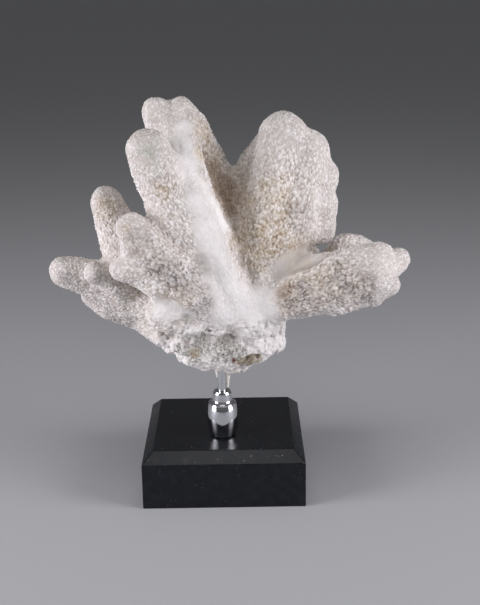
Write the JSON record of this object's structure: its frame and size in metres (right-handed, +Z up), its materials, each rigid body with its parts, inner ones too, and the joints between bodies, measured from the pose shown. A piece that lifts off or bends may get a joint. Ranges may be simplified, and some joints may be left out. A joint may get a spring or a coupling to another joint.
{
  "type": "cauliflower coral skeleton on stand",
  "caption": "Branching, warty coral skeleton with a broken foot, glued on a short bright rod in a turned collar on a square black base.",
  "frame": {"origin": "centre of the square base's flat underside", "axes": "+Z up, +X to the viewer's right, the viewer looks along +Y"},
  "size_m": [0.2218, 0.1495, 0.2444],
  "materials": {
    "coral_skeleton": "matte",
    "black_painted_wood": "satin",
    "chrome_plate": "polished",
    "white_glue": "satin"
  },
  "bodies": {
    "root": {"base": "black_painted_wood", "collar": "chrome_plate", "rod": "chrome_plate", "glue_bead": "white_glue", "coral_holdfast": "coral_skeleton", "coral_upper_left_branch": "coral_skeleton", "coral_left_branch": "coral_skeleton", "coral_low_left_branch": "coral_skeleton", "coral_right_blade": "coral_skeleton", "coral_low_right_branch": "coral_skeleton", "coral_rear_right_branch": "coral_skeleton", "coral_back_left_branch": "coral_skeleton", "coral_back_right_branch": "coral_skeleton", "coral_back_branch": "coral_skeleton"}
  },
  "joints": []
}
